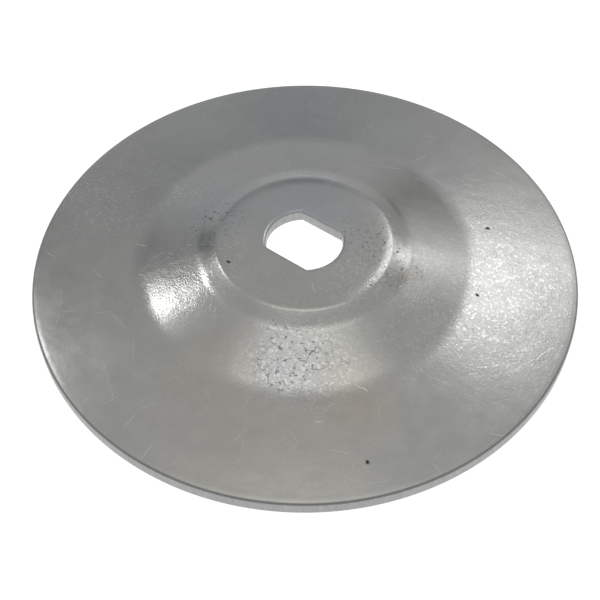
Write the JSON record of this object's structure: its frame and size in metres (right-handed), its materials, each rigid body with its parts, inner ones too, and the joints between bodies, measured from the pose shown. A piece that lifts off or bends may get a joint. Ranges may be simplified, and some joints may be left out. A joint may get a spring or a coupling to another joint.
{
  "type": "flange washer",
  "caption": "Round pressed steel washer with a shallow conical flange, a raised flat hub and a double-D hole for a shaft with two flats.",
  "frame": {"origin": "in the plane on which the rim stands, at the middle of the disc", "axes": "+Z along the washer's axis, out of the raised side of the hub; the flats of the hole run along X"},
  "size_m": [0.1142, 0.1142, 0.0095],
  "materials": {
    "zinc_plated_steel": "semi-bright zinc plating over pressed steel, lightly handled: fine scratches, small pits and faint passivation tints"
  },
  "bodies": {
    "root": {"flange_washer": "zinc_plated_steel"}
  },
  "joints": []
}
